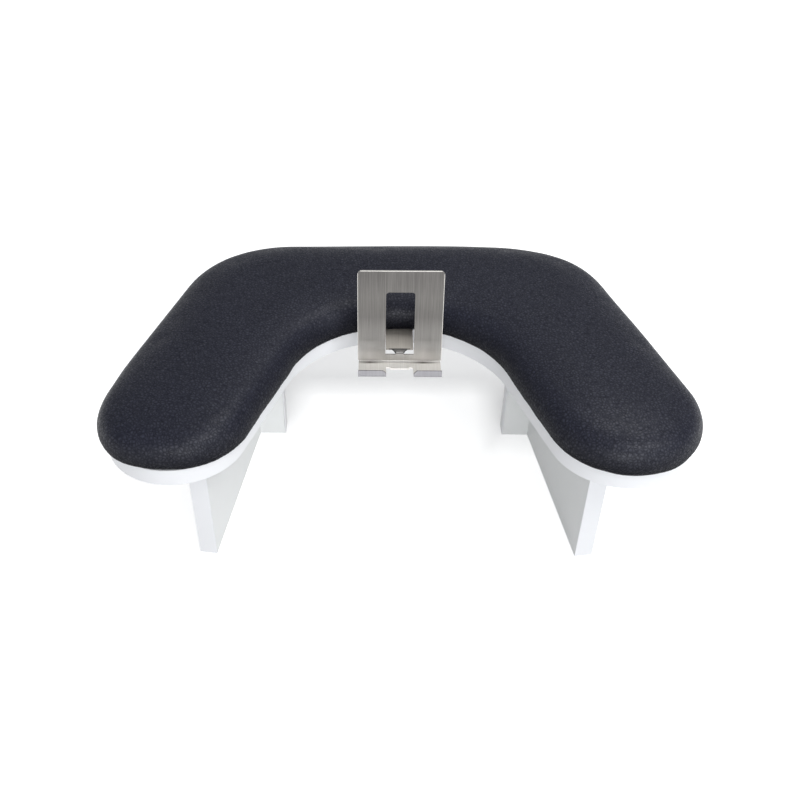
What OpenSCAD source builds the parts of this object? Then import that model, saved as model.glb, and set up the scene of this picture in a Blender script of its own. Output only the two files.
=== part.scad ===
// Forearm rest for a treatment table: a U-shaped upholstered pad on a white board,
// carried by two splayed side legs with a brace each. A phone holder bent from one
// steel sheet hangs at the arch by a tongue that slides in between board and pad.
// Origin: middle of the outline, on the floor. +Z up, the open side faces -Y.

/* [Pad outline] */
// Overall width of the pad
pad_w = 504; // [460:1:600]
// Overall depth of the pad, from the arm ends to the back edge
pad_d = 320; // [300:1:350]
// Depth from the arm ends to the middle of the arch
arch_d = 199; // [180:1:206]
// Radius of the rounded arm ends
arm_r = 65; // [58:0.5:72]
// Radius of the two outer back corners
corner_r = 104; // [75:1:110]
// Half the length of the straight piece in the middle of the arch
arch_flat = 3.6; // [2:0.2:30]
// Angle by which the outer sides spread towards the front
outer_lean = 15.5; // [8:0.5:18]
// Angle by which the inner sides spread towards the front
inner_lean = 18.5; // [10:0.5:22]

/* [Pad section] */
// Height of the crown above the board
pad_h = 35; // [32:0.5:45]
// Height above the board where the rounded edge ends and the crown starts
edge_h = 32; // [24:0.5:32]
// Width of the rounded edge, seen from above
edge_round = 22; // [18:0.5:30]
// Height of the widest line above the board
bulge_h = 10; // [9:0.5:14]
// How far the cover draws in below its widest line
tuck = 4; // [2:0.5:6]
// Half the width of the flat strip along the top of the crown
crown_flat = 6; // [4:0.5:10]
// Thickness of the leather cover
cover_t = 1.2; // [0.8:0.1:1.6]
// Width of the leather turned in under the base
cover_turn = 22; // [16:1:28]
// Thickness of the plywood base inside the pad
base_t = 8; // [6:0.5:9]
// Staples that hold the turned leather, on each half of the pad
staple_count = 22; // [12:1:30]

/* [Board and legs] */
// Thickness of the U-shaped board
board_t = 16; // [15:0.5:22]
// How far the board stays inside the pad's widest line
board_inset = 5; // [3:0.5:8]
// Thickness of the plastic edge band
band_t = 1; // [0.8:0.1:2]
// Height of the legs
leg_h = 110; // [90:1:130]
// Thickness of the legs and braces
leg_t = 16; // [15:0.5:22]
// Length of a side leg, front to back
leg_l = 236; // [215:1:240]
// Distance from an arm's middle line to its leg's inner face, at the leg's front
leg_in = 26; // [18:0.5:32]
// How far a side leg's front stands back from the pad's front
leg_setback = 29.4; // [24:0.2:36]
// Angle by which the side legs close towards the back
leg_splay = 8; // [4:0.5:10]
// Distance from a side leg's front to its brace
brace_back = 165; // [150:1:180]
// Width of a brace, from its leg's inner face to its free end
brace_w = 26.3; // [22:0.1:40]

/* [Fasteners] */
// Head diameter of the leg screws
leg_screw_head_d = 10; // [9:0.5:11]
// Shank diameter of the leg screws
leg_screw_d = 7; // [6:0.5:7]
// Length of the leg screws
leg_screw_l = 50; // [40:1:60]
// Diameter of the wooden dowels
dowel_d = 8; // [6:1:8]
// Length of the wooden dowels
dowel_l = 30; // [24:1:34]
// Head diameter of the pad screws
pad_screw_head_d = 8; // [7:0.5:9]
// Thread diameter of the pad screws
pad_screw_d = 4; // [3.5:0.5:4.5]
// Length of the pad screws
pad_screw_l = 22; // [20:0.5:23]
// Distance of the side pad screws from a leg's outer face
pad_screw_out = 14; // [10:0.5:20]

/* [Phone holder] */
// Sheet thickness
sheet_t = 1.5; // [1:0.1:2]
// Inner radius of every bend
bend_r = 1.5; // [1:0.1:2]
// Width of the back plate
plate_w = 78; // [70:1:90]
// Height of the back plate above the bottom of its window
plate_h = 83; // [76:1:110]
// Depth of the back plate below its window
plate_drop = 8.6; // [7:0.2:12]
// Angle by which the plate leans back
plate_lean = 8.5; // [4:0.5:12]
// Corner radius of the plate's top
plate_corner_r = 4; // [2:0.5:6]
// Width of the window that the tongue is cut from
window_w = 26.4; // [22:0.2:30]
// Height of the window
window_h = 62; // [54:1:68]
// Corner radius of the window
window_r = 3; // [1:0.2:4]
// Depth of the ledge, plate to outside of the lips
ledge_d = 28.6; // [20:0.2:34]
// Height of the lips, measured outside
lip_h = 7.4; // [5:0.2:12]
// Depth of the middle of the ledge, behind the cable notch
tab_d = 13; // [9:0.2:16]
// Width of the cable notch between the lips
notch_w = 25; // [20:0.5:30]
// Width of the middle of the ledge at the notch
tab_w = 17.5; // [14:0.5:18]
// Cut at the inner upper corner of each lip
lip_chamfer = 3; // [1:0.5:4]
// Distance of each end of the ledge from the plate's side
ledge_in = 0.8; // [0:0.1:2]
// Narrowest width of the neck that joins the tongue to the plate
neck_w = 6; // [5:0.5:8]
// Widening of the neck on each side towards the tongue
neck_flare = 4.4; // [1:0.2:6]
// Depth of the relief cuts beside the neck, in the plate and in the tongue
relief = 1.1; // [0.5:0.1:1.5]
// Distance from the plate's window to the pad's arch
plate_gap = 31; // [24:0.5:34]
// Sideways place of the holder
holder_x = 3; // [-10:0.5:10]

/* [Hidden] */

// Clearances and overruns
clear = 0.3;      // soft parts and the sliding tongue
glue = 0.1;       // glue line under the edge bands
fit_gap = 0.1;    // screws and dowels in their holes
over = 1;         // cuts run this far past a face

// Heights
board_top = leg_h + board_t;
base_bottom = board_top + cover_t;
base_top = base_bottom + base_t;

// Steps along each arc of the outline, and facets of round parts
corner_steps = 5;
end_steps = 14;
hole_fn = 48;

// Unit vectors square to the leaning sides, and along the outer one, for the right half
out_n = [cos(outer_lean), sin(outer_lean)];
out_s = [-sin(outer_lean), cos(outer_lean)];
in_n = [-cos(inner_lean), -sin(inner_lean)];

// Arc centres of the right half, for the pad's widest line
front_y = -pad_d / 2;
back_y = pad_d / 2;
arch_y = front_y + arch_d;
end_c = [pad_w / 2 - arm_r, front_y + arm_r];
corner_base = end_c + (arm_r - corner_r) * out_n;
corner_c = corner_base + (back_y - corner_r - corner_base[1]) / out_s[1] * out_s;
// The arch's round corner touches both the inner side and the line across the arch
arch_r = ([arch_flat - end_c[0], arch_y - end_c[1]] * in_n - arm_r) / (1 + in_n[1]);
arch_c = [arch_flat, arch_y - arch_r];

function arc(c, r, a, b, steps) =
    [for (i = [0:steps]) c + r * [cos(a + (b - a) * i / steps), sin(a + (b - a) * i / steps)]];

// Right half of the outline drawn in by d, from the back round the arm end to the arch
function half_line(d, finer = 1) = concat(
    [[0, back_y - d]],
    arc(corner_c, corner_r - d, 90, outer_lean, corner_steps * finer),
    arc(end_c, arm_r - d, outer_lean, inner_lean - 180, end_steps * finer),
    arc(arch_c, arch_r + d, inner_lean, 90, corner_steps * finer),
    [[0, arch_y + d]]);
half_n = len(half_line(0));
ring_n = 2 * half_n - 2;
function mirror_x(p) = [-p[0], p[1]];
function full_line(d, finer = 1) = let (h = half_line(d, finer))
    concat(h, [for (i = [len(h) - 2:-1:1]) mirror_x(h[i])]);
function ring(d, z) = [for (p = full_line(d)) [p[0], p[1], z]];

// The flat shape drawn in by d, for board, edge band and base. The base takes the same
// steps round the corners as the cover that goes round it.
flat_finer = 2;
module flat_shape(d, finer = flat_finer) {
    polygon(full_line(d, finer));
}

// A solid lofted through rings, closed by a cap on the first and the last.
// Each ring is [inset, height]; the first cap faces down.
function cap(base, flip) = let (m = (half_n - 1) / 2)
    [for (side = [0, 1]) for (t = [1:m]) for (f = [0, 1])
        let (l = function (i) base + (side == 0 || i == 0 ? i : ring_n - i),
            a = l(m - t), b = l(m - t + 1), c = l(m + t - 1), d = l(m + t),
            tri = f == 0 ? [a, b, c] : [a, c, d])
        if (tri[0] != tri[1] && tri[1] != tri[2])
            (side == 0) == flip ? [tri[2], tri[1], tri[0]] : tri];
function skin(count) =
    [for (r = [0:count - 2]) for (i = [0:ring_n - 1]) for (f = [0, 1])
        let (j = (i + 1) % ring_n, a = r * ring_n + i, b = r * ring_n + j)
        f == 0 ? [a, b, b + ring_n] : [a, b + ring_n, a + ring_n]];
module loft(rings) {
    polyhedron(
        points = [for (r = rings) each ring(r[0], r[1])],
        faces = concat(cap(0, true), skin(len(rings)),
            cap((len(rings) - 1) * ring_n, false)));
}

// Section of the pad: a rounded edge, then a low crown up to the flat strip.
// t is the depth under the cover's outer face.
crown_in = min((pad_d - arch_d) / 2, arm_r) - crown_flat;
edge_angles = [0, 22.5, 45, 67.5, 90];
crown_shares = [0.35, 0.7, 1];
function edge_point(a, t) = [edge_round * (1 - cos(a)) + t * cos(a),
    board_top + bulge_h + (edge_h - bulge_h) * sin(a) - t * sin(a)];
function crown_point(s, t) = [edge_round + (crown_in - edge_round) * s,
    board_top + edge_h + (pad_h - edge_h) * (1 - (1 - s) * (1 - s)) - t];
function upper_rings(t) = concat([for (a = edge_angles) edge_point(a, t)],
    [for (s = crown_shares) crown_point(s, t)]);
function reverse(v) = [for (i = [len(v) - 1:-1:0]) v[i]];

// Frame of one side leg: origin at its front inner corner, Y along its length
leg_x = end_c[0] - leg_in;
module leg_frame(side) {
    scale([side, 1, 1]) translate([leg_x, front_y + leg_setback, 0]) rotate(leg_splay) children();
}
leg_core_l = leg_l - 2 * (band_t + glue);
function inner_face_x(y) = leg_x - y * tan(leg_splay);
function outer_face_x(y) = inner_face_x(y) + leg_t / cos(leg_splay);
brace_x = inner_face_x(brace_back) - brace_w;
leg_screw_places = [for (s = [0.12, 0.5, 0.9]) s * leg_l];
leg_dowel_places = [for (s = [0.24, 0.8]) s * leg_l];
brace_mid = brace_back + leg_t / 2;
brace_screw_x = (brace_x + inner_face_x(brace_mid)) / 2;
brace_dowel_heights = [for (s = [0.2, 0.5]) s * leg_h];
brace_dowel_y = brace_mid / cos(leg_splay);
leg_hole_depth = dowel_l / 3;
brace_dowel_in = leg_t * 0.6;
brace_dowel_l = brace_dowel_in + (inner_face_x(brace_mid) - brace_x) * 0.6;

module leg_holes_in_board(side) {
    leg_frame(side) {
        for (y = leg_screw_places) translate([leg_t / 2, y, 0]) leg_screw_hole();
        for (y = leg_dowel_places) translate([leg_t / 2, y, leg_h - dowel_l / 2])
            cylinder(d = dowel_d + fit_gap, h = dowel_l / 2 + leg_hole_depth, $fn = hole_fn);
    }
    brace_frame(side) leg_screw_hole();
}

module brace_frame(side) {
    translate([side * brace_screw_x, front_y + leg_setback + brace_mid, 0]) children();
}

// Leg screw: countersunk head, plain shank, then a ridged thread
head_cone = (leg_screw_head_d - leg_screw_d) / 2;
shank_l = board_t - fit_gap;
thread_r = leg_screw_d / 2 - 0.1 * leg_screw_d;
core_r = thread_r - 0.14 * leg_screw_d;
thread_turns = 9;
screw_tip = core_r;
module leg_screw() {
    pitch = (leg_screw_l - shank_l - screw_tip) / thread_turns;
    translate([0, 0, board_top - fit_gap]) difference() {
        rotate_extrude($fn = hole_fn) polygon(concat(
            [[0, 0], [leg_screw_head_d / 2, 0], [leg_screw_head_d / 2, -head_cone / 2],
            [leg_screw_d / 2, -head_cone * 1.5], [leg_screw_d / 2, -shank_l], [core_r, -shank_l]],
            [for (i = [0:thread_turns - 1]) each [
                [core_r, -shank_l - pitch * (i + 0.2)],
                [thread_r, -shank_l - pitch * (i + 0.5)],
                [core_r, -shank_l - pitch * (i + 0.8)]]],
            [[core_r, -leg_screw_l + screw_tip], [0, -leg_screw_l]]));
        translate([0, 0, -head_cone])
            cylinder(d = leg_screw_head_d * 0.45, h = head_cone + over, $fn = 6);
    }
}
module leg_screw_hole() {
    translate([0, 0, board_top - fit_gap - leg_screw_l - fit_gap]) {
        cylinder(d = 2 * thread_r + 2 * fit_gap, h = leg_screw_l + over, $fn = hole_fn);
        translate([0, 0, leg_screw_l - shank_l - fit_gap])
            cylinder(d = leg_screw_d + 2 * fit_gap, h = shank_l + over, $fn = hole_fn);
    }
    translate([0, 0, board_top - head_cone * 1.5 - 2 * fit_gap])
        cylinder(d = leg_screw_head_d + 2 * fit_gap, h = head_cone * 1.5 + over, $fn = hole_fn);
}

module top_board() {
    color("white") difference() {
        translate([0, 0, leg_h]) linear_extrude(board_t)
            flat_shape(board_inset + band_t + glue);
        for (side = [-1, 1]) leg_holes_in_board(side);
        for (p = pad_screw_places) translate([p[0], p[1], leg_h]) pad_screw_hole();
        tongue_pocket();
    }
}

module board_edge_band() {
    color("white") difference() {
        translate([0, 0, leg_h]) linear_extrude(board_t) difference() {
            flat_shape(board_inset);
            flat_shape(board_inset + band_t);
        }
        tongue_pocket();
    }
}

module side_leg(side) {
    color("white") difference() {
        leg_frame(side) translate([0, band_t + glue, 0]) cube([leg_t, leg_core_l, leg_h]);
        leg_frame(side) {
            for (y = leg_screw_places) translate([leg_t / 2, y, 0]) leg_screw_hole();
            for (y = leg_dowel_places) translate([leg_t / 2, y, leg_h - dowel_l])
                cylinder(d = dowel_d + fit_gap, h = dowel_l + over, $fn = hole_fn);
            brace_dowel_holes();
        }
    }
}
module left_side_leg() side_leg(-1);
module right_side_leg() side_leg(1);

// Dowels between a side leg and its brace, square to the leg's inner face
module brace_dowel_holes() {
    for (z = brace_dowel_heights)
        translate([brace_dowel_in + fit_gap, brace_dowel_y, z]) rotate([0, -90, 0])
            cylinder(d = dowel_d + fit_gap, h = brace_dowel_l + 2 * fit_gap, $fn = hole_fn);
}

module brace(side) {
    y = front_y + leg_setback;
    in_x = brace_x + band_t + glue;
    color("white") difference() {
        scale([side, 1, 1]) linear_extrude(leg_h) polygon([
            [in_x, y + brace_back],
            [inner_face_x(brace_back), y + brace_back],
            [inner_face_x(brace_back + leg_t), y + brace_back + leg_t],
            [in_x, y + brace_back + leg_t]]);
        leg_frame(side) brace_dowel_holes();
        brace_frame(side) leg_screw_hole();
    }
}
module left_brace() brace(-1);
module right_brace() brace(1);

module leg_edge_bands(side) {
    y = front_y + leg_setback;
    color("white") {
        leg_frame(side) {
            cube([leg_t, band_t, leg_h]);
            translate([0, leg_l - band_t, 0]) cube([leg_t, band_t, leg_h]);
        }
        scale([side, 1, 1]) translate([brace_x, y + brace_back, 0]) cube([band_t, leg_t, leg_h]);
    }
}
module left_leg_edge_bands() leg_edge_bands(-1);
module right_leg_edge_bands() leg_edge_bands(1);

module leg_screws(side) {
    color("silver") leg_frame(side)
        for (y = leg_screw_places) translate([leg_t / 2, y, 0]) leg_screw();
}
module left_leg_screws() leg_screws(-1);
module right_leg_screws() leg_screws(1);
module left_brace_screw() color("silver") brace_frame(-1) leg_screw();
module right_brace_screw() color("silver") brace_frame(1) leg_screw();

module dowel(l) {
    cylinder(d = dowel_d, h = l, $fn = hole_fn);
}
module leg_dowels(side) {
    color("burlywood") leg_frame(side)
        for (y = leg_dowel_places)
            translate([leg_t / 2, y, leg_h + leg_hole_depth - fit_gap - dowel_l]) dowel(dowel_l);
}
module left_leg_dowels() leg_dowels(-1);
module right_leg_dowels() leg_dowels(1);
module brace_dowels(side) {
    color("burlywood") leg_frame(side)
        for (z = brace_dowel_heights)
            translate([brace_dowel_in, brace_dowel_y, z]) rotate([0, -90, 0]) dowel(brace_dowel_l);
}
module left_brace_dowels() brace_dowels(-1);
module right_brace_dowels() brace_dowels(1);

// Plywood base, on the turned leather
base_inset = tuck + cover_t + clear;
module pad_base() {
    color("burlywood") difference() {
        translate([0, 0, base_bottom]) linear_extrude(base_t) flat_shape(base_inset, 1);
        for (p = pad_screw_places) translate([p[0], p[1], leg_h]) pad_screw_hole();
    }
}

// Foam between the base and the cover
foam_depth = cover_t + clear;
module foam_core() {
    color("lightyellow") loft(concat(
        [[foam_depth + tuck / 4, base_top]],
        [for (r = upper_rings(foam_depth)) if (r[1] > base_top) r]));
}

// Leather cover: over the foam, down the sides and turned in under the base
module leather_cover() {
    color([0.13, 0.14, 0.18]) loft(concat(
        reverse(upper_rings(cover_t)),
        [[tuck + cover_t, base_bottom], [tuck + cover_turn, base_bottom],
        [tuck + cover_turn, board_top], [tuck, board_top],
        [tuck * 0.3, board_top + bulge_h * 0.45]],
        upper_rings(0)));
}

// Staples through the turned leather, along the middle of its width
staple_w = 10;
staple_wire = 0.7;
staple_leg = 5;
staple_inset = tuck + cover_turn * 0.55;
function walk(path, s, i = 0) = let (l = norm(path[i + 1] - path[i]))
    s <= l || i == len(path) - 2
        ? [path[i] + (path[i + 1] - path[i]) * min(s / l, 1), path[i + 1] - path[i]]
        : walk(path, s - l, i + 1);
function path_length(p, i = 0) = i < len(p) - 1 ? norm(p[i + 1] - p[i]) + path_length(p, i + 1) : 0;
module cover_staples() {
    line = half_line(staple_inset);
    step = path_length(line) / staple_count;
    color("silver") for (side = [-1, 1]) for (i = [0:staple_count - 1]) {
        w = walk(line, step * (i + 0.5));
        scale([side, 1, 1]) translate([w[0][0], w[0][1], board_top + fit_gap])
            rotate(atan2(w[1][1], w[1][0])) translate([-staple_w / 2, -staple_wire / 2, 0]) {
                cube([staple_w, staple_wire, staple_wire]);
                for (x = [0, staple_w - staple_wire]) translate([x, 0, 0])
                    cube([staple_wire, staple_wire, staple_leg]);
            }
    }
}

// Pad screws, up through the board into the plywood base
side_screw_shares = [0.16, 0.72];
back_screw_share = 0.12;
pad_screw_places = [for (side = [-1, 1]) each concat(
    [for (s = side_screw_shares) let (y = s * leg_l)
        [side * (outer_face_x(y) + pad_screw_out), front_y + leg_setback + y]],
    [[side * pad_w * back_screw_share, (arch_y + back_y) / 2 + leg_t]])];
pad_head_h = (pad_screw_head_d - pad_screw_d) / 2;
module pad_screw_hole() {
    translate([0, 0, -over])
        cylinder(d = pad_screw_d + 2 * fit_gap, h = pad_screw_l + over + 2 * fit_gap, $fn = hole_fn);
    translate([0, 0, -over])
        cylinder(d = pad_screw_head_d + 2 * fit_gap, h = over + fit_gap, $fn = hole_fn);
    translate([0, 0, fit_gap - fit_gap / 2])
        cylinder(d1 = pad_screw_head_d + 2 * fit_gap, d2 = pad_screw_d + 2 * fit_gap,
            h = pad_head_h + fit_gap, $fn = hole_fn);
}
module pad_screws() {
    color("silver") for (p = pad_screw_places) translate([p[0], p[1], leg_h]) difference() {
        union() {
            translate([0, 0, fit_gap])
                cylinder(d1 = pad_screw_head_d, d2 = pad_screw_d, h = pad_head_h, $fn = hole_fn);
            cylinder(d = pad_screw_d, h = pad_screw_l - pad_screw_d / 2, $fn = hole_fn);
            translate([0, 0, pad_screw_l - pad_screw_d / 2])
                cylinder(d1 = pad_screw_d, d2 = pad_screw_d / 8, h = pad_screw_d / 2, $fn = hole_fn);
        }
        for (a = [0, 90]) rotate(a) translate([-pad_screw_d / 2, -pad_screw_d / 10, -over])
            cube([pad_screw_d, pad_screw_d / 5, over + pad_head_h * 0.75]);
    }
}

// Phone holder. Its pivot is the bottom of the window on the plate's front face.
bend_out = bend_r + sheet_t;
tongue_top = board_top - clear;
pivot_z = tongue_top - bend_out * (1 - sin(plate_lean));
pivot_y = arch_y - plate_gap;
kerf = 0.4;
tongue_w = window_w - 2 * kerf;
neck_steps = 8;
bite = 0.05;      // joined pieces of sheet reach this far inside each other
tongue_start = pivot_y + bend_out * cos(plate_lean);
tongue_l = window_h - kerf - bend_out;
tongue_end = tongue_start + tongue_l;

module tongue_pocket() {
    translate([holder_x - tongue_w / 2 - clear, tongue_start, tongue_top - sheet_t - clear])
        cube([tongue_w + 2 * clear, tongue_l + clear, sheet_t + 2 * clear + over]);
}
module along_x(w) {
    translate([-w / 2, 0, 0]) rotate([90, 0, 90]) linear_extrude(w) children();
}
// Quarter or part of a bend, from angle a to angle b, less than 180 degrees apart
module bend_section(a, b) {
    far = 2 * bend_out;
    intersection() {
        difference() {
            circle(bend_out, $fn = hole_fn);
            circle(bend_r, $fn = hole_fn);
        }
        polygon([[0, 0], far * [cos(a), sin(a)],
            far * [cos((a + b) / 2), sin((a + b) / 2)] * 1.5, far * [cos(b), sin(b)]]);
    }
}
module plate_outline() {
    r = plate_corner_r;
    difference() {
        union() {
            translate([-plate_w / 2, bend_r - plate_drop])
                square([plate_w, plate_h + plate_drop - bend_r - r]);
            translate([r - plate_w / 2, plate_h - 2 * r]) square([plate_w - 2 * r, 2 * r]);
            for (side = [-1, 1]) translate([side * (plate_w / 2 - r), plate_h - r])
                circle(r, $fn = hole_fn);
        }
        translate([-window_w / 2, 0]) square([window_w, window_h - window_r]);
        for (side = [-1, 1]) polygon([[side * neck_w / 2, relief], [side * neck_w / 2, 0],
            [side * (neck_w / 2 + relief), -relief], [side * window_w / 2, -relief],
            [side * window_w / 2, relief]]);
        translate([window_r - window_w / 2, 0]) square([window_w - 2 * window_r, window_h]);
        for (side = [-1, 1]) translate([side * (window_w / 2 - window_r), window_h - window_r])
            circle(window_r, $fn = hole_fn);
    }
}
// Side view of ledge and lip, in front of the plate and below the window
module ledge_section() {
    back_z = bend_r - plate_drop;
    translate([-bend_r, back_z]) bend_section(-90, 0);
    translate([bend_out - ledge_d, -plate_drop - sheet_t])
        square([ledge_d - bend_out - bend_r, sheet_t]);
    translate([bend_out - ledge_d, back_z]) bend_section(180, 270);
    translate([-ledge_d, back_z]) square([sheet_t, lip_h - bend_out]);
}
module ledge_cuts() {
    low = -plate_drop - sheet_t - over;
    tall = lip_h + 2 * over;
    translate([-notch_w / 2, -ledge_d - over, low]) cube([notch_w, ledge_d - tab_d + over, tall]);
    for (side = [-1, 1]) {
        scale([side, 1, 1]) translate([tab_w / 2, -ledge_d - over, low])
            cube([(notch_w - tab_w) / 2, ledge_d + over - tab_d + relief * 2, tall]);
        scale([side, 1, 1]) translate([notch_w / 2, -ledge_d + sheet_t + over, lip_h + low + over])
            rotate([90, 0, 0]) linear_extrude(sheet_t + 2 * over)
                polygon([[-over, -lip_chamfer - over], [lip_chamfer + over, over], [-over, over]]);
    }
}
// Neck between plate and tongue, its ends bitten into both
module neck_section() {
    from = 180 - plate_lean;
    bite_angle = 3;
    outer = [for (i = [0:neck_steps]) let (a = from + (90 - from) * i / neck_steps)
        bend_out * [cos(a), sin(a)]];
    inner = [for (i = [neck_steps:-1:0]) let (a = from + (90 - from) * i / neck_steps)
        bend_r * [cos(a), sin(a)]];
    deep = from + bite_angle;
    polygon(concat(
        [(bend_out - bite) * [cos(deep), sin(deep)]], outer,
        [[relief * 2, bend_out - bite], [relief * 2, bend_r + bite]],
        inner, [(bend_r + bite) * [cos(deep), sin(deep)]]));
}
// The neck is narrowest at the plate and flares until it is inside the tongue
function neck_half(y) = (neck_w + 2 * neck_flare * (y + bend_out) / (relief + bend_out)) / 2;
module neck() {
    intersection() {
        along_x(2 * neck_half(1.5 * relief)) neck_section();
        translate([0, 0, -2 * bend_out]) linear_extrude(4 * bend_out)
            polygon([for (side = [-1, 1], end = [0, 1, 2])
                let (y = [-2 * bend_out, -bend_out, 3 * relief][side < 0 ? end : 2 - end])
                [side * neck_half(max(y, -bend_out)), y]]);
    }
}
module tongue_outline() {
    r = window_r;
    translate([-tongue_w / 2, relief]) square([tongue_w, tongue_l - relief - r]);
    translate([r - tongue_w / 2, tongue_l - 2 * r]) square([tongue_w - 2 * r, 2 * r]);
    for (side = [-1, 1]) translate([side * (tongue_w / 2 - r), tongue_l - r])
        circle(r, $fn = hole_fn);
}
module phone_holder() {
    color([0.6, 0.58, 0.55]) translate([holder_x, 0, 0]) {
        translate([0, pivot_y, pivot_z]) rotate([-plate_lean, 0, 0]) {
            translate([0, sheet_t, 0]) rotate([90, 0, 0]) linear_extrude(sheet_t) plate_outline();
            difference() {
                along_x(plate_w - 2 * ledge_in) ledge_section();
                ledge_cuts();
            }
        }
        translate([0, tongue_start, tongue_top - bend_out]) neck();
        translate([0, tongue_start, tongue_top - sheet_t]) linear_extrude(sheet_t) tongue_outline();
    }
}

top_board();
board_edge_band();
left_side_leg();
right_side_leg();
left_brace();
right_brace();
left_leg_edge_bands();
right_leg_edge_bands();
left_leg_screws();
right_leg_screws();
left_brace_screw();
right_brace_screw();
left_leg_dowels();
right_leg_dowels();
left_brace_dowels();
right_brace_dowels();
pad_base();
foam_core();
leather_cover();
cover_staples();
pad_screws();
phone_holder();
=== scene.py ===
# %% [markdown]
# # A padded arm rest with a phone holder
#
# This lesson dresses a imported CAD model: a U-shaped pad covered in black leather, a white
# laminated board on two splayed legs, and a phone holder bent from brushed steel.
# The CAD model gives every size and place. Blender adds what a maker would feel with
# their fingers: the soft crown of the pad, eased board edges, grain, brushing and light.

# %% Load the frame
import math
import bmesh
import bpy
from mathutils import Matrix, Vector, noise
from mathutils.bvhtree import BVHTree


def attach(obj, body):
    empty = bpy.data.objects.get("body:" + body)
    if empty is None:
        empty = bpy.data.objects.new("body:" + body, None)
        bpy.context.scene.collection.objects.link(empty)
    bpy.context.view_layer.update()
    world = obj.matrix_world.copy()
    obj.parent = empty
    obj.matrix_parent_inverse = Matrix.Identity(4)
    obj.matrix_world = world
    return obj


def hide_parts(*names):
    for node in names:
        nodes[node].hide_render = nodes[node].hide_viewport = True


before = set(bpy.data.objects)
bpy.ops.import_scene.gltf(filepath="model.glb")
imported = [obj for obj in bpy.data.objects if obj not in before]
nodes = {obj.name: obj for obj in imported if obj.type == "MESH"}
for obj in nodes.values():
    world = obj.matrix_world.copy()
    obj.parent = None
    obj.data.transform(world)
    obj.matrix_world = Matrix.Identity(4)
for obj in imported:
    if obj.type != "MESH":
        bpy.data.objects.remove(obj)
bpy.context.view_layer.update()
scene = bpy.context.scene

# %% [markdown]
# ## The camera
#
# The photograph looks down on the open side from a little under a metre. A camera in
# Blender has a lens and a place; the small sideways shift stands for a picture that was
# cropped off its centre. These numbers were fitted to the outline of the pad and the legs.

# %% Camera
MM = 0.001
CAMERA_PLACE = (-18.9 * MM, -703.0 * MM, 652.4 * MM)
LOOKING_DOWN, TURNED = 39.479, 0.602   # degrees
LENS, SENSOR, SIDE_SHIFT = 42.72, 36, 0.0399
camera_data = bpy.data.cameras.new("camera")
camera = bpy.data.objects.new("camera", camera_data)
scene.collection.objects.link(camera)
camera.location = CAMERA_PLACE
camera.rotation_euler = (math.radians(90 - LOOKING_DOWN), 0, math.radians(TURNED))
camera_data.lens = LENS
camera_data.sensor_width = SENSOR
camera_data.shift_x = SIDE_SHIFT
scene.camera = camera
scene.view_settings.view_transform = "Standard"
print("camera at", tuple(round(c, 3) for c in camera.location))

# %% [markdown]
# ## Writing a finish as sums
#
# A material is a net of nodes, which is hard to read as code. Two small classes help.
# `Value` wraps a socket, so that `grain * 0.5 + 1` adds the Math nodes by itself.
# `Finish` holds one material, and its `node` method adds any other node in one line.
# Colours are written as red, green and blue, and a constant goes straight on its socket.

# %% Value and Finish
class Value:
    def __init__(self, finish, socket):
        self.finish, self.socket = finish, socket

    def math(self, operation, *terms):
        return self.finish.node("ShaderNodeMath", dict(enumerate(terms)), operation=operation)

    def __add__(self, other): return self.math("ADD", self, other)
    def __radd__(self, other): return self.math("ADD", other, self)
    def __sub__(self, other): return self.math("SUBTRACT", self, other)
    def __rsub__(self, other): return self.math("SUBTRACT", other, self)
    def __mul__(self, other): return self.math("MULTIPLY", self, other)
    def __abs__(self): return self.math("ABSOLUTE", self)
    def at_least(self, other): return self.math("MAXIMUM", self, other)
    def above(self, limit): return self.math("GREATER_THAN", self, limit)
    def below(self, limit): return self.math("LESS_THAN", self, limit)

    def sibling(self, name):
        return Value(self.finish, self.socket.node.outputs[name])


class Finish:
    def __init__(self, name, **constants):
        self.material = bpy.data.materials.new(name)
        self.material.use_nodes = True
        self.tree = self.material.node_tree
        self.shader = self.tree.nodes["Principled BSDF"]
        self.set(**constants)
        self.place = self.node("ShaderNodeTexCoord", out="Object")

    def set(self, **sockets):
        for name, value in sockets.items():
            self.feed(self.shader.inputs[name.replace("_", " ")], value)

    def feed(self, socket, value):
        if isinstance(value, Value):
            self.tree.links.new(value.socket, socket)
        elif socket.type == "RGBA":
            socket.default_value = (*value, 1)
        else:
            socket.default_value = value

    def node(self, kind, sockets=None, out=0, **settings):
        made = self.tree.nodes.new(kind)
        for name, value in settings.items():
            setattr(made, name, value)
        for name, value in (sockets or {}).items():
            self.feed(made.inputs[name], value)
        return Value(self, made.outputs[out])

    def ramp(self, share, stops):
        made = self.node("ShaderNodeValToRGB", {0: share})
        elements = made.socket.node.color_ramp.elements
        while len(elements) < len(stops):
            elements.new(0.5)
        for element, (position, colour) in zip(elements, stops):
            element.position, element.color = position, (*colour, 1)
        return made

    def between(self, value, start, end, top=1.0):
        return self.node("ShaderNodeMapRange", {"Value": value, "From Min": start,
                                                "From Max": end, "To Max": top})

    def stretched(self, scale):
        return self.node("ShaderNodeMapping", {"Vector": self.place, "Scale": scale})

    def noise(self, scale, detail=2.0, roughness=0.5, place=None, out=0):
        return self.node("ShaderNodeTexNoise", {"Vector": place or self.place, "Scale": scale,
                                                "Detail": detail, "Roughness": roughness}, out)

    def mix(self, share, a, b):
        return self.node("ShaderNodeMix", {0: share, 6: a, 7: b}, out=2, data_type="RGBA")

    def bump(self, height, strength, distance, under=None):
        sockets = {"Height": height, "Strength": strength, "Distance": distance}
        if under:
            sockets["Normal"] = under
        return self.node("ShaderNodeBump", sockets)


print("finish helpers ready")

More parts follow.
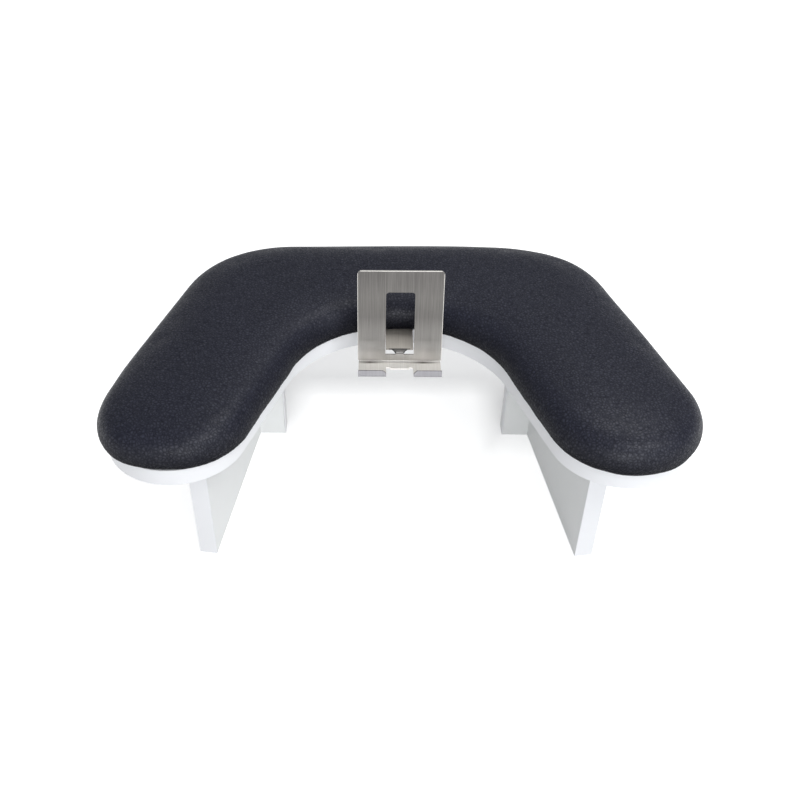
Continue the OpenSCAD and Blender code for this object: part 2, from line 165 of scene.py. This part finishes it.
# %% [markdown]
# ## Black leather
#
# The cover is soft black leather with a trace of blue. Its grain is a net of small
# pebbles about two and a half millimetres across with creases between them. Voronoi cells
# give the pebbles. A noise bends their sides, so they don't look like tiles, a stretched
# one lays folds over them, and a slow one varies how deep the creases are. A satin coat,
# thinner in the creases, shines on the upper side alone and fades down the rolled edge.
# Down that edge the colour is darker too: painted shade, standing in for the shade there.

# %% Leather
CELLS = 380.0            # pebbles in a metre
CELL_DRIFT = 0.0022      # how far a pebble's side wanders, in metres
CREASE_WIDTH = 0.4       # share of a pebble
FOLDS = (230.0, 460.0, 330.0)
leather = Finish("black leather", Specular_IOR_Level=0.04, Coat_Roughness=0.45)
drift = leather.noise(230.0, out="Color")
drift = leather.node("ShaderNodeVectorMath", {0: drift, "Scale": CELL_DRIFT}, operation="SCALE")
bent = leather.node("ShaderNodeVectorMath", {0: leather.place, 1: drift}, operation="ADD")
crease, pebble = (leather.node("ShaderNodeTexVoronoi", {"Vector": bent, "Scale": CELLS}, feature=f)
                  for f in ("DISTANCE_TO_EDGE", "SMOOTH_F1"))
pores = leather.ramp(crease, [(0.0, (0, 0, 0)), (CREASE_WIDTH, (1, 1, 1))])
fold = leather.noise(1.0, 3.0, 0.6, leather.stretched(FOLDS))
fine = leather.noise(1400.0, 3.0, 0.6)
slow = leather.noise(24.0, 3.0, 0.55)
height = (pores * 0.45 - pebble * 0.25 + fine * 0.06) * (0.5 + slow) + fold * 0.4
leather.set(Normal=leather.bump(height, 1.0, 0.0018, leather.bump(slow, 0.1, 0.004)))
leather.set(Roughness=0.5 + fine * 0.1 - pores * 0.08)
up = leather.node("ShaderNodeSeparateXYZ", {"Vector": leather.place}, out="Z")
satin = leather.between(up, 0.132, 0.146, top=0.62)
leather.set(Coat_Weight=satin * (0.46 + pores * 0.9 + (fold - 0.5) * 1.1))
# Painted shade: the base colour darkens down the rolled edge, below the pale upper side.
painted_edge_shade_mask = leather.between(up, 0.130, 0.152)
dark = leather.mix(painted_edge_shade_mask, (0.0045, 0.0047, 0.0068), (0.0088, 0.0094, 0.0152))
pale = leather.mix(painted_edge_shade_mask, (0.0092, 0.0096, 0.0135), (0.0188, 0.0205, 0.037))
leather.set(Base_Color=leather.mix(pores * 0.9 + (fold - 0.5) * 0.7 + 0.24, dark, pale))
print("leather:", len(leather.tree.nodes), "nodes")

# %% [markdown]
# ## White laminate
#
# The board and the legs are wood board with a hard white face. Such a face is almost
# even: a faint mottle in its gloss and a barely uneven surface keep it from looking
# like plain plastic. The edge band is a cooler white with a little more gloss.

# %% Laminate and edge band
MOTTLE_SHADE = 0.975     # how much of the colour is left in the mottle


def white_face(name, colour, gloss):
    face = Finish(name, Roughness=gloss)
    mottle = face.noise(60.0, 4.0, 0.6)
    speck = face.noise(900.0, 2.0, 0.5)
    shade = face.mix(mottle, colour, tuple(c * MOTTLE_SHADE for c in colour))
    face.set(Base_Color=shade, Roughness=gloss - 0.05 + mottle * 0.1)
    face.set(Normal=face.bump(speck, 0.08, 0.0002))
    return face.material


laminate = white_face("white laminate", (0.87, 0.88, 0.87), 0.38)
edging = white_face("white edge band", (0.9, 0.905, 0.92), 0.3)
print("white faces:", laminate.name, edging.name)

# %% [markdown]
# ## Brushed steel
#
# The sheet is brushed along its height before it is bent, so the lines run up the plate
# and on along the ledge and the tongue. Noise that is stretched eighty times along two
# axes makes lines that cross the sheet's width. They change colour, gloss and height.

# %% Brushing
steel = Finish("brushed steel", Metallic=1.0)
lines = steel.noise(1.0, 2.0, 0.6, steel.stretched((2400.0, 30.0, 30.0)))
broad = steel.noise(1.0, 2.0, 0.5, steel.stretched((1000.0, 12.0, 12.0)))
cloud = steel.noise(38.0, 3.0, 0.6)
tone = lines * 0.6 + broad * 0.25 + cloud * 0.15
streak = (tone - 0.3) * 2.4
print("brushing:", len(steel.tree.nodes), "nodes")

# %% [markdown]
# Each part of the sheet faces another way and mirrors another part of the room, and these
# reflections are painted into the colour: the plate darkens upwards, the ledge and the
# tongue shine, and the lips are dull. So the place on the sheet picks the colour. Every
# mask below is a share from 0 to 1, worked out from across, along and up, in metres. A
# dark brown reflection is painted on either side of the bend, a painted highlight on the
# plate's foot beside it and on its rims, and painted shade on the neck.

# %% Zones of the sheet
BEND_Y = 0.0048          # where plate and ledge meet
HOLDER_X = 0.003         # middle of the holder
PAINTED_SPOTS_X = 0.025          # how far to either side the painted dark reflection and the painted lit foot are
across = steel.node("ShaderNodeSeparateXYZ", {"Vector": steel.place})
along, up = across.sibling("Y"), across.sibling("Z")
flat = steel.between(along, 0.0068, BEND_Y)
behind = steel.between(along, 0.0115, 0.013)
low = steel.between(up, 0.131, 0.129)
lip = steel.between(along, -0.0192, -0.0198)
tongue = behind * low
side = abs(abs(across) - PAINTED_SPOTS_X)
# Painted dark brown reflection in two spots, one on either side of the bend.
painted_bend_reflection = (1 - abs(along - BEND_Y) * 400).at_least(0.0) * (1 - side * 75).at_least(0.0)
foot = steel.between(up, 0.137, 0.124)
# Painted highlight: a brighter foot on the plate beside the bend spots.
lit = foot * (1 - side * 60).at_least(0.0) * along.above(0.0069)
edge = abs(across - HOLDER_X)
# Painted highlight along the plate's side edges and its top edge.
painted_rim_highlight = edge.above(0.0386).at_least(up.above(0.2046))
# Painted shade: the neck below the window is darkened.
painted_neck_shade = edge.below(0.01) * up.above(0.1228) * low * (1 - behind)
print("zones of the sheet:", len(steel.tree.nodes), "nodes")

# %% Colours of the sheet
# Painted reflection: the plate's colour runs from lighter at its foot to darker at its top.
raised = steel.between(up, 0.122, 0.2)
plate_dark = steel.ramp(raised, [
    (0.0, (0.28, 0.27, 0.255)), (0.2, (0.178, 0.171, 0.162)), (0.49, (0.098, 0.094, 0.089)),
    (0.74, (0.1, 0.095, 0.09)), (1.0, (0.078, 0.074, 0.071))])
plate_pale = steel.ramp(raised, [
    (0.0, (0.43, 0.415, 0.395)), (0.2, (0.285, 0.275, 0.261)), (0.49, (0.18, 0.172, 0.163)),
    (0.74, (0.198, 0.19, 0.18)), (1.0, (0.175, 0.167, 0.16))])
# Painted reflections: a bright ledge, dull lips (folded) and a bright tongue (tucked).
ledge = steel.mix(streak, (0.72, 0.69, 0.64), (0.92, 0.9, 0.86))
folded = steel.mix(streak, (0.27, 0.265, 0.28), (0.38, 0.375, 0.39))
tucked = steel.mix(streak, (0.62, 0.58, 0.51), (0.86, 0.8, 0.72))
# The lit foot's pale colour is a painted highlight.
brushed = steel.mix(lit, steel.mix(streak, plate_dark, plate_pale), (0.62, 0.6, 0.58))
plate = steel.mix(painted_rim_highlight, brushed, (0.62, 0.6, 0.57))
colour = steel.mix(tongue, steel.mix(flat, plate, steel.mix(lip, ledge, folded)), tucked)
shaded = steel.mix(painted_neck_shade, colour, (0.15, 0.145, 0.14))
# The dark brown colour of the painted bend reflection goes on last.
steel.set(Base_Color=steel.mix(painted_bend_reflection, shaded, (0.05, 0.036, 0.024)))
steel.set(Roughness=0.28 + tone * 0.2 + flat * 0.16)
steel.set(Metallic=1 - flat * (1 - lip) * 0.5 - tongue * 0.3)
steel.set(Normal=steel.bump(lines, 0.2, 0.00006))
print("steel:", len(steel.tree.nodes), "nodes")

# %% [markdown]
# ## Hidden woods and zinc
#
# Nobody sees the dowels, the base and the screws until the rest is taken apart, but
# whoever does finds beech, plywood and zinc there. One helper streaks a wood along the
# way that its grain runs, and zinc gets a faint crystal bloom.

# %% Wood, plywood and zinc
def streaked_wood(name, light, dark, stretch):
    wood = Finish(name, Roughness=0.6)
    grain = wood.noise(1.0, 4.0, 0.6, wood.stretched(stretch))
    wood.set(Base_Color=wood.mix(grain, light, dark), Roughness=0.5 + grain * 0.2)
    wood.set(Normal=wood.bump(grain, 0.2, 0.0003))
    return wood.material


beech = streaked_wood("beech", (0.55, 0.36, 0.19), (0.40, 0.24, 0.12), (400.0, 400.0, 25.0))
plywood = streaked_wood("birch plywood", (0.56, 0.40, 0.22), (0.36, 0.24, 0.12),
                        (18.0, 260.0, 900.0))
zinc = Finish("zinc plate", Metallic=1.0, Roughness=0.32)
bloom = zinc.noise(500.0, 3.0, 0.6)
zinc.set(Base_Color=zinc.mix(bloom, (0.46, 0.47, 0.49), (0.62, 0.63, 0.65)),
         Roughness=0.26 + bloom * 0.16)
print("hidden finishes:", beech.name, plywood.name, zinc.material.name)

# %% [markdown]
# ## Easing the edges of CAD pieces
#
# A CAD solid has knife edges, and real boards and sheets don't: sandpaper or the press
# takes a little off, and that little is what catches the light. The helper copies a CAD
# node, welds its loose triangles, joins flat neighbours, and bevels what is still sharp.

# %% Eased copies
WELD = 2e-6
FLAT_WITHIN, SHARP_FROM, SMOOTH_BELOW = (math.radians(a) for a in (0.4, 30, 35))


def eased(node, name, material, width, body="stand"):
    bm = bmesh.new()
    bm.from_mesh(nodes[node].data)
    bmesh.ops.remove_doubles(bm, verts=bm.verts, dist=WELD)
    bmesh.ops.dissolve_limit(bm, angle_limit=FLAT_WITHIN, verts=bm.verts, edges=bm.edges)
    sharp = [e for e in bm.edges if e.calc_face_angle(0) > SHARP_FROM]
    bmesh.ops.bevel(bm, geom=sharp, offset=width, offset_type="OFFSET", affect="EDGES",
                    segments=2, profile=0.5, material=-1, clamp_overlap=True)
    for face in bm.faces:
        face.smooth = True
    for edge in bm.edges:
        edge.smooth = edge.calc_face_angle(0) < SMOOTH_BELOW
    mesh = bpy.data.meshes.new(name)
    bm.to_mesh(mesh)
    bm.free()
    piece = bpy.data.objects.new(name, mesh)
    scene.collection.objects.link(piece)
    mesh.materials.append(material)
    even = piece.modifiers.new("even shading", "WEIGHTED_NORMAL")
    even.keep_sharp = True
    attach(piece, body)
    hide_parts(node)
    print(name, len(mesh.polygons), "faces")
    return piece


# %% [markdown]
# ## Board and legs
#
# The board, its edge band, the legs and the braces are flat panels, so they are the CAD
# pieces with softened edges. The bands are thin strips of their own, and where a strip
# meets the panel a hair line shows, as it does on real furniture. The plywood base in
# the pad is a panel too.

# %% Panels and bands
for node in ("top_board", "left_side_leg", "right_side_leg", "left_brace", "right_brace"):
    panel = eased(node, node + "_panel", laminate, 0.12 * MM)
for node in ("board_edge_band", "left_leg_edge_bands", "right_leg_edge_bands"):
    strip = eased(node, node + "_strip", edging, 0.3 * MM)

# %% [markdown]
# ## Phone holder
#
# The holder is one steel sheet: a plate with a window, a ledge with two lips below, and
# the window's own cut-out bent back as a tongue. The CAD solid has those bends already.
# Only the burr-free edges of the cut sheet are added, as a very small bevel.

# %% Phone holder and base
holder = eased("phone_holder", "steel_phone_holder", steel.material, 0.5 * MM,
               body="removable_holder")
base = eased("pad_base", "plywood_base", plywood, 1.2 * MM)

# %% [markdown]
# ## The outline of the pad
#
# The pad, seen from above, is straight lines joined by three arcs on each side: the
# outer back corner, the arm's round end, and the inner corner of the arch. A vertex
# spun round the centre of an arc leaves the arc behind as a chain of edges. One half
# is drawn that way, mirrored, and filled with one face.

# %% Outline values
PAD = {"width": 504, "depth": 320, "arch": 199, "arm": 65, "corner": 104, "arch_flat": 3.6,
       "outer_lean": 15.5, "inner_lean": 18.5}   # millimetres and degrees
BOARD_TOP = 126 * MM


def leaning(degrees):
    return Vector((math.cos(math.radians(degrees)), math.sin(math.radians(degrees)), 0))


outward = leaning(PAD["outer_lean"])
inward = -leaning(PAD["inner_lean"])
along_out = Vector((-outward.y, outward.x, 0))
back_y = PAD["depth"] / 2
arch_y = PAD["arch"] - back_y
arm_centre = Vector((PAD["width"] / 2 - PAD["arm"], PAD["arm"] - back_y, 0))
start = arm_centre + outward * (PAD["arm"] - PAD["corner"])
corner_centre = start + along_out * (back_y - PAD["corner"] - start.y) / along_out.y
to_arch = Vector((PAD["arch_flat"], arch_y, 0)) - arm_centre
arch_round = (to_arch.dot(inward) - PAD["arm"]) / (1 + inward.y)
arch_centre = Vector((PAD["arch_flat"], arch_y - arch_round, 0))
print("centres in mm:", corner_centre.to_tuple(1), arm_centre.to_tuple(1), arch_centre.to_tuple(1))

# %% Draw and fill the outline
CORNER_STEPS, ARM_STEPS, ARCH_STEPS = 12, 34, 14
JOINED = 1e-6


def add_line(bm, vertex, to):
    made = bmesh.ops.extrude_vert_indiv(bm, verts=[vertex])["verts"][0]
    made.co = to * MM
    return made


def add_arc(bm, vertex, centre, angle, steps):
    made = bmesh.ops.spin(bm, geom=[vertex], cent=centre * MM, axis=(0, 0, 1),
                          angle=math.radians(angle), steps=steps, use_duplicate=False)
    return [v for v in made["geom_last"] if isinstance(v, bmesh.types.BMVert)][0]


def outline_face(bm, drawn_in, z):
    tip = bm.verts.new(Vector((0, back_y - drawn_in, 0)) * MM)
    tip = add_line(bm, tip, corner_centre + Vector((0, PAD["corner"] - drawn_in, 0)))
    tip = add_arc(bm, tip, corner_centre, PAD["outer_lean"] - 90, CORNER_STEPS)
    tip = add_line(bm, tip, arm_centre + outward * (PAD["arm"] - drawn_in))
    tip = add_arc(bm, tip, arm_centre, PAD["inner_lean"] - 180 - PAD["outer_lean"], ARM_STEPS)
    tip = add_line(bm, tip, arch_centre - inward * (arch_round + drawn_in))
    tip = add_arc(bm, tip, arch_centre, 90 - PAD["inner_lean"], ARCH_STEPS)
    add_line(bm, tip, Vector((0, arch_y + drawn_in, 0)))
    bmesh.ops.mirror(bm, geom=bm.verts[:] + bm.edges[:], axis="X", merge_dist=JOINED)
    bmesh.ops.remove_doubles(bm, verts=bm.verts, dist=JOINED)
    face = bmesh.ops.contextual_create(bm, geom=bm.edges[:])["faces"][0]
    bmesh.ops.translate(bm, verts=bm.verts, vec=(0, 0, z))
    if face.normal.z < 0:
        bmesh.ops.reverse_faces(bm, faces=[face])
    return face


print("outline:", CORNER_STEPS + ARM_STEPS + ARCH_STEPS, "steps of arc on each side")

# %% [markdown]
# ## The pad's section
#
# Cut across, the pad swells to its widest line a centimetre above the board, rolls over
# the edge, and rises in a low crown. Below that line the leather draws in to where it
# is stapled under the base. Each step of that section is one inset of the face: so much
# inwards, so much up. The insets start a little outside the outline, because the skin
# shrinks when it is remeshed and smoothed.

# %% Section of the pad
SLACK = -0.6
WIDEST, WALL = 10, 0.5
EDGE_ROUND, EDGE_UP, EDGE_STEPS = 22, 21.6, 16
CROWN_IN, CROWN_UP, CROWN_STEPS = 34, 3.6, 12
TURN_UNDER = [(1.0, 4.5), (2.4, 7.5), (4 - SLACK, WIDEST - 0.6)]


def section():
    points = []
    for step in range(1, EDGE_STEPS + 1):
        turn = math.radians(90 * step / EDGE_STEPS)
        points.append((EDGE_ROUND * (1 - math.cos(turn)), EDGE_UP * math.sin(turn)))
    for step in range(1, CROWN_STEPS + 1):
        share = step / CROWN_STEPS
        points.append((EDGE_ROUND + CROWN_IN * share, EDGE_UP + CROWN_UP * (1 - (1 - share) ** 2)))
    return points


def inset_steps(bm, face, points):
    before = (0, 0)
    for point in points:
        bmesh.ops.inset_region(bm, faces=[face], use_boundary=True, use_even_offset=True,
                               thickness=(point[0] - before[0]) * MM,
                               depth=(point[1] - before[1]) * MM)
        before = point


def pad_form():
    bm = bmesh.new()
    lower = outline_face(bm, SLACK, BOARD_TOP + (WIDEST - WALL) * MM)
    made = bmesh.ops.extrude_face_region(bm, geom=[lower], use_keep_orig=True)["geom"]
    upper = [g for g in made if isinstance(g, bmesh.types.BMFace)][0]
    bmesh.ops.translate(bm, verts=upper.verts[:], vec=(0, 0, WALL * MM))
    bm.normal_update()
    inset_steps(bm, upper, section())
    inset_steps(bm, lower, TURN_UNDER)
    bmesh.ops.triangulate(bm, faces=[f for f in bm.faces if len(f.verts) > 4])
    bmesh.ops.recalc_face_normals(bm, faces=bm.faces)
    mesh = bpy.data.meshes.new("leather_pad")
    bm.to_mesh(mesh)
    bm.free()
    pad = bpy.data.objects.new("leather_pad", mesh)
    scene.collection.objects.link(pad)
    return pad


pad = pad_form()
form_size = tuple(round(d / MM) for d in pad.dimensions)
print("pad form:", len(pad.data.vertices), "vertices", form_size)

# %% [markdown]
# ## Swelling the leather
#
# Foam pushes a cover outwards until the leather holds it. Blender's cloth does the same
# with a pressure inside a closed mesh. The form is first remeshed into even squares of
# four and a half millimetres, which the solver likes. Points on the board are pinned,
# gravity is off, and no point may move further than a cap, so the photographed outline
# is kept while the surface relaxes into one taut skin.

# %% Remesh and swell
VOXEL, CAP = 4.5 * MM, 1.6 * MM
PINNED_BELOW = BOARD_TOP + 1.5 * MM
PRESSURE, FRAMES = 4.0, 20
TAUT, BENDING = 40, 5


def form_surface(piece):
    return BVHTree.FromPolygons([v.co for v in piece.data.vertices],
                                [tuple(p.vertices) for p in piece.data.polygons])


def bake_modifiers(piece):
    bpy.context.view_layer.update()
    seen = piece.evaluated_get(bpy.context.evaluated_depsgraph_get())
    mesh = bpy.data.meshes.new_from_object(seen)
    piece.modifiers.clear()
    piece.data = mesh


def smooth(piece, times, group=""):
    relax = piece.modifiers.new("relax", "SMOOTH")
    relax.factor, relax.iterations, relax.vertex_group = 0.5, times, group
    bake_modifiers(piece)


def remesh(piece):
    even = piece.modifiers.new("even squares", "REMESH")
    even.mode = "VOXEL"
    even.voxel_size = VOXEL
    even.use_smooth_shade = True
    bake_modifiers(piece)
    smooth(piece, 3)


def swell(piece):
    start_points = [v.co.copy() for v in piece.data.vertices]
    held = piece.vertex_groups.new(name="held")
    held.add([i for i, p in enumerate(start_points) if p.z < PINNED_BELOW], 1, "REPLACE")
    cloth = piece.modifiers.new("cover", "CLOTH")
    cloth.settings.use_pressure = True
    cloth.settings.uniform_pressure_force = PRESSURE
    cloth.settings.vertex_group_mass = "held"
    cloth.settings.quality = 5
    cloth.settings.tension_stiffness = cloth.settings.compression_stiffness = TAUT
    cloth.settings.bending_stiffness = BENDING
    cloth.settings.effector_weights.gravity = 0
    cloth.collision_settings.use_collision = False
    cloth.point_cache.frame_end = FRAMES
    for number in range(1, FRAMES + 1):
        scene.frame_set(number)
    bake_modifiers(piece)
    scene.frame_set(1)
    moved = 0
    for vertex, first in zip(piece.data.vertices, start_points):
        step = vertex.co - first
        if step.length > CAP:
            vertex.co = first + step * (CAP / step.length)
        moved = max(moved, step.length)
    print("cover swelled: furthest wish %.1f mm, cap %.1f mm" % (moved / MM, CAP / MM))


tailored = form_surface(pad)
remesh(pad)
swell(pad)

# %% [markdown]
# ## Hand work on the leather
#
# A real cover is never as even as its pattern. Subdivision rounds the squares first.
# Then the rolled edge is laid back on the form, because staples hold the leather tight
# there. A few soft pushes of a hand move the outline by a millimetre or two, as an
# upholsterer's hands do. Smooth noise gives the stapled edge its small pulls and the top
# its slow waves.

# %% Tight lower edge, pulls and waves
# Each push has a centre and a reach across the plan, and the move at its centre, in mm.
PUSHES = [
    ((-192, -156), 30, (0, 2.4, 0)),
    ((-234, -138), 24, (-0.2, -2.2, 0)),
    ((-250, -85), 28, (2.6, 0, 0)),
    ((-98, -35), 50, (2, 0, 0)),
    ((84, -28), 34, (0.8, 0.7, 0)),
    ((-145, -104), 30, (1.5, -1, 0)),
    ((205, 0), 70, (1.2, 0, 0)),
    ((190, 130), 40, (2, 0.8, 0)),
    ((222, -150), 45, (0.2, -1.2, 0)),
    ((30, 150), 100, (0, 0.6, 0.8)),
    ((130, 155), 40, (0, -1.4, -0.6)),
    ((-125, 150), 50, (-0.6, -0.5, -0.3))]
LOOSE_FROM, LOOSE_TO, LOOSENESS = 22, 32, 0.7   # heights above the board, in mm
ON_BOARD = 0.8                                  # points below this lie on the board
PULL_AT, PULL_REACH, PULL_SIZE = 6, 7, 1.1
WAVE_TO, WAVE_SIZE = 20, 0.35
PULLS, WAVES = 70, 16                           # noise scales, per metre
PULLS_PLACE = Vector((3.1, 7.7, 0))
UPPER_FROM = BOARD_TOP + 16 * MM


def blend(value, low, high):
    share = min(1.0, max(0.0, (value - low) / (high - low)))
    return share * share * (3 - 2 * share)


def push(p):
    for centre, reach, move in PUSHES:
        away = (Vector((p.x, p.y)) - Vector(centre) * MM).length / (reach * MM)
        p += Vector(move) * MM * math.exp(-away * away)


def hand_work(piece, form):
    for vertex in piece.data.vertices:
        p = vertex.co
        height = (p.z - BOARD_TOP) / MM
        tight = 1 - LOOSENESS * blend(height, LOOSE_FROM, LOOSE_TO)
        p += (form.find_nearest(p)[0] - p) * tight
        if height > ON_BOARD:
            push(p)
            pull = noise.noise(Vector((p.x, p.y, 0)) * PULLS + PULLS_PLACE)
            wave = noise.noise(p * WAVES)
            low = max(0.0, 1 - abs(height - PULL_AT) / PULL_REACH)
            swing = WAVE_SIZE * wave * blend(height, PULL_AT, WAVE_TO)
            p.z += (PULL_SIZE * low * pull + swing) * MM
        p.z = max(p.z, BOARD_TOP + 0.1 * MM)


rounder = pad.modifiers.new("rounder", "SUBSURF")
rounder.levels = rounder.render_levels = 1
bake_modifiers(pad)
hand_work(pad, tailored)
upper = pad.vertex_groups.new(name="upper")
upper.add([v.index for v in pad.data.vertices if v.co.z > UPPER_FROM], 1, "REPLACE")
smooth(pad, 12, "upper")
for polygon in pad.data.polygons:
    polygon.use_smooth = True
pad.data.materials.clear()
pad.data.materials.append(leather.material)
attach(pad, "stand")
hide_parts("leather_cover", "foam_core")
print("pad:", len(pad.data.polygons), "faces", tuple(round(d / MM, 1) for d in pad.dimensions))

# %% [markdown]
# ## Finishes for the hidden pieces
#
# The pieces inside keep their CAD shape. They only need their material.

# %% Hidden pieces
hidden = {beech: ["left_leg_dowels", "right_leg_dowels", "left_brace_dowels",
                  "right_brace_dowels"],
          zinc.material: ["left_leg_screws", "right_leg_screws", "left_brace_screw",
                          "right_brace_screw", "cover_staples", "pad_screws"]}
for material, names in hidden.items():
    for name in names:
        nodes[name].data.materials.clear()
        nodes[name].data.materials.append(material)
        print(name, "is", material.name)

# %% [markdown]
# ## Studio
#
# A product picture on white has a bright even floor that still carries a soft shadow.
# Light that bounces off this floor meets a plain grey surface. Only where the camera or
# a reflection looks at it is it pale, and glows, so the light on the object stays plain.
# The glow is weaker under the back of the board, a painted shadow that deepens the real
# shadow there, stronger in the open middle, in front of the rest and outside it, and it
# grows towards the horizon.

# %% Floor
FLOOR_SIZE = 14                      # radius in metres
BAY = (0, 0.12, 0)                   # middle of the shaded bay, in metres
GLOW_IN_BAY, GLOW_OPEN, GLOW_FAR = 0.28, 0.34, 0.26
GREY, PALE = (0.42, 0.42, 0.42), (0.8, 0.8, 0.8)


def seen_or_mirrored(finish):
    path = finish.node("ShaderNodeLightPath", out="Is Camera Ray")
    glossy, through = path.sibling("Is Glossy Ray"), path.sibling("Is Transmission Ray")
    return path.at_least(glossy).at_least(through)


pale_floor = Finish("pale floor", Roughness=0.9, Specular_IOR_Level=0.0)
place = pale_floor.place
far_off = pale_floor.node("ShaderNodeVectorMath", {0: place}, "Value", operation="LENGTH")
from_bay = pale_floor.node("ShaderNodeVectorMath", {0: place, 1: BAY}, "Value",
                           operation="DISTANCE")
sideways = pale_floor.node("ShaderNodeSeparateXYZ", {"Vector": place})
depth, width = sideways.sibling("Y"), abs(sideways)
sweep = pale_floor.between(far_off, 0.35, 1.0, top=GLOW_FAR)
outside = pale_floor.between(from_bay, 0.19, 0.25)
ahead = pale_floor.between(depth, 0.13, 0.095)
middle = pale_floor.between(width, 0.125, 0.085)
front = pale_floor.between(depth, 0.06, 0.0)
open_floor = (ahead * middle).at_least(front).at_least(outside)
# Painted shadow: the glow drops in the bay under the back of the board.
glow_with_painted_shadow = GLOW_IN_BAY + open_floor * GLOW_OPEN
seen = seen_or_mirrored(pale_floor)
glow = pale_floor.mix(seen * (glow_with_painted_shadow + sweep), (0, 0, 0), (1, 1, 1))
pale_floor.set(Base_Color=pale_floor.mix(seen, GREY, PALE))
pale_floor.set(Emission_Color=glow, Emission_Strength=1.0)
bm = bmesh.new()
bmesh.ops.create_circle(bm, cap_ends=True, segments=64, radius=FLOOR_SIZE)
floor_mesh = bpy.data.meshes.new("floor")
bm.to_mesh(floor_mesh)
bm.free()
floor = bpy.data.objects.new("floor", floor_mesh)
scene.collection.objects.link(floor)
floor_mesh.materials.append(pale_floor.material)
print("floor:", len(pale_floor.tree.nodes), "nodes")

# %% [markdown]
# The world gives even light from all sides, a trace blue. Two large lamps in front do
# most of the work, one behind lifts the back of the pad, and a small cool one, low at
# the side, puts a sheen on the right arm.

# %% World and lamps
SKY, SKY_STRENGTH = (0.95, 0.97, 1.0, 1), 0.44
world = bpy.data.worlds.new("studio")
scene.world = world
world.use_nodes = True
background = world.node_tree.nodes["Background"]
background.inputs["Color"].default_value = SKY
background.inputs["Strength"].default_value = SKY_STRENGTH


def lamp(name, place, aim, size, power, colour=(1, 1, 1)):
    data = bpy.data.lights.new(name, "AREA")
    data.shape = "RECTANGLE"
    data.size, data.size_y = size
    data.energy = power
    data.color = colour
    made = bpy.data.objects.new(name, data)
    scene.collection.objects.link(made)
    made.location = place
    made.rotation_euler = (Vector(aim) - Vector(place)).to_track_quat("-Z", "Y").to_euler()
    print("lamp", name, power, "W")


lamp("front key", (0.75, -0.75, 1.62), (0, 0, 0.1), (1.0, 0.8), 13)
lamp("low side light", (1.15, -1.0, 0.72), (0, 0, 0.14), (0.7, 0.5), 2.7, (0.86, 0.92, 1))
lamp("back softbox", (0.5, 0.6, 1.75), (0, 0, 0.1), (0.8, 0.6), 7)
lamp("front fill", (0.1, -2.1, 0.9), (0, 0, 0.08), (1.4, 1.0), 21.5, (0.97, 0.98, 1))
